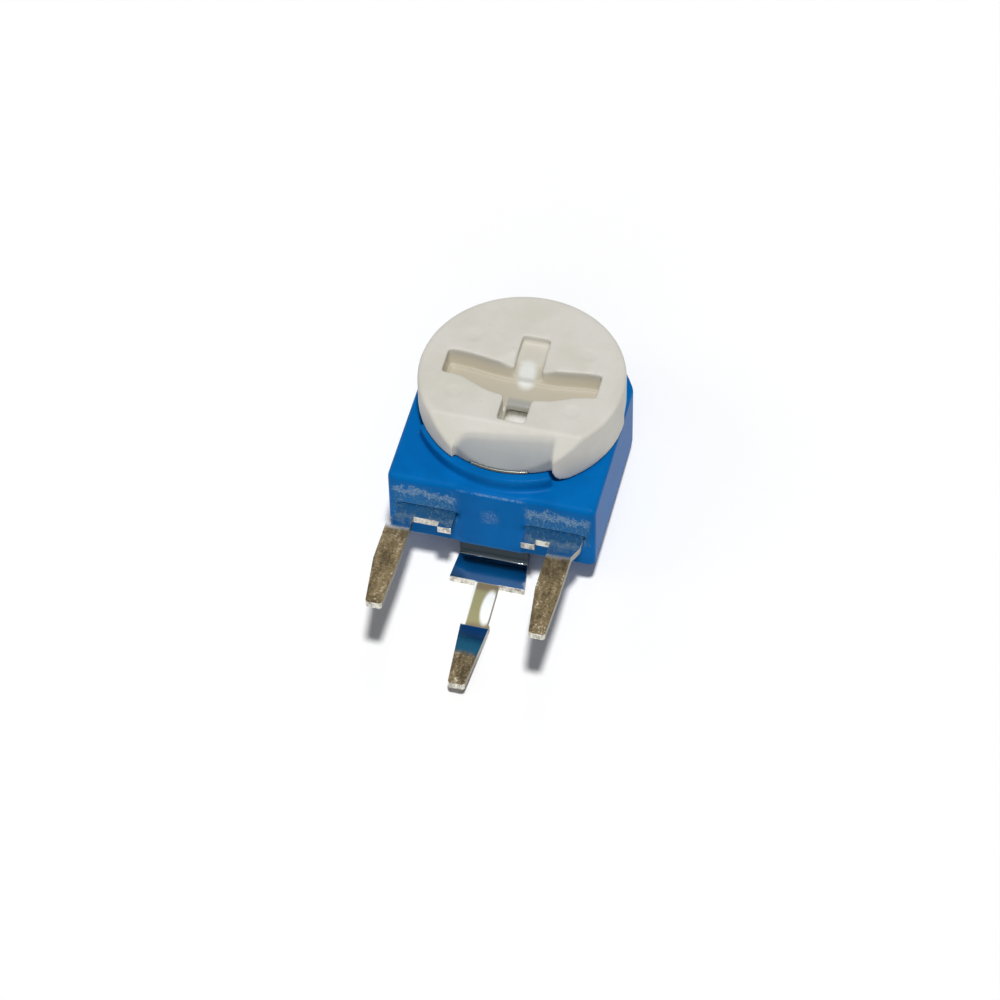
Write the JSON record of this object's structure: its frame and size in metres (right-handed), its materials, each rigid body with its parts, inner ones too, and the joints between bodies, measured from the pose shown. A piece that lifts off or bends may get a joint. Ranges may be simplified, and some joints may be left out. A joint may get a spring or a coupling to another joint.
{
  "type": "trimmer potentiometer",
  "caption": "Small side-adjust trimmer potentiometer: a round slotted rotor on a block housing, with tapered legs for a circuit board.",
  "frame": {"origin": "on the rotor axis, in the plane of the housing's back face", "axes": "+Z along the rotor axis towards the screwdriver slot, -Y the way the legs point, +X to the right-hand leg"},
  "size_m": [0.0065, 0.0116, 0.0056],
  "materials": {
    "housing_plastic": "satin moulded",
    "wafer_board": "matte laminate",
    "carbon_ink": "matte printed",
    "silver_ink": "matte printed",
    "tinned_metal": "dull tin plate",
    "rivet_metal": "bright plated",
    "wiper_metal": "bright spring sheet",
    "rotor_plastic": "satin moulded"
  },
  "bodies": {
    "base": {"housing": "housing_plastic", "element_wafer": "wafer_board", "carbon_track": "carbon_ink", "left_end_pad": "silver_ink", "right_end_pad": "silver_ink", "left_terminal": "tinned_metal", "right_terminal": "tinned_metal", "centre_terminal": "tinned_metal"},
    "adjuster": {"rotor": "rotor_plastic", "wiper": "wiper_metal", "pivot_rivet": "rivet_metal"}
  },
  "joints": [
    {"name": "rotor_turn", "type": "hinge", "parent": "base", "child": "adjuster", "pos_m": [0, 0, 0], "axis": [0, 0, 1], "range_deg": [0, 208.2]}
  ]
}
